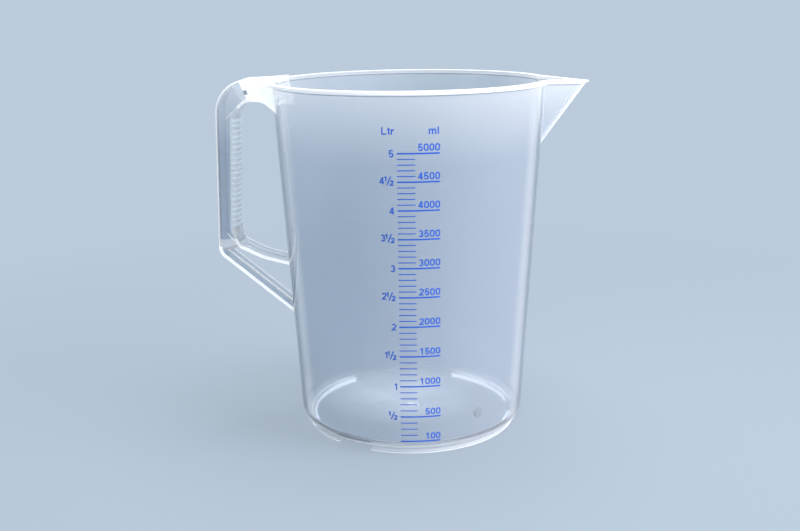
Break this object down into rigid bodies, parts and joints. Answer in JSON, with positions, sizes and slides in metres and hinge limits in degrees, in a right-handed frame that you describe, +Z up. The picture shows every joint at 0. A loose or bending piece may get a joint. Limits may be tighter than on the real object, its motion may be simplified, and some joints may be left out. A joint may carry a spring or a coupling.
{
  "type": "measuring jug",
  "caption": "Tapered, milky translucent plastic measuring jug with a V-shaped pouring spout, a closed grip handle and a printed volume scale.",
  "frame": {"origin": "point on the table under the vessel's axis, in the plane of the foot ring's underside", "axes": "+Z up along the vessel's axis, +X towards the spout, the handle towards -X and the printed scale facing -Y"},
  "size_m": [0.269, 0.2012, 0.2558],
  "materials": {
    "polypropylene": "milky translucent, satin",
    "ink": "matt screen print"
  },
  "bodies": {
    "root": {"vessel_wall": "polypropylene", "vessel_floor": "polypropylene", "foot_ring": "polypropylene", "gate_nub": "polypropylene", "wall_mark": "polypropylene", "rim_bead": "polypropylene", "spout_shell": "polypropylene", "spout_bead": "polypropylene", "thumb_rest": "polypropylene", "thumb_ribs": "polypropylene", "handle_outer_band": "polypropylene", "handle_lower_flange": "polypropylene", "handle_finger_band": "polypropylene", "handle_near_side": "polypropylene", "handle_far_side": "polypropylene", "finger_ribs": "polypropylene", "scale_long_lines": "ink", "scale_short_lines": "ink", "litre_numerals": "ink", "millilitre_numerals": "ink", "unit_headings": "ink"}
  },
  "joints": []
}
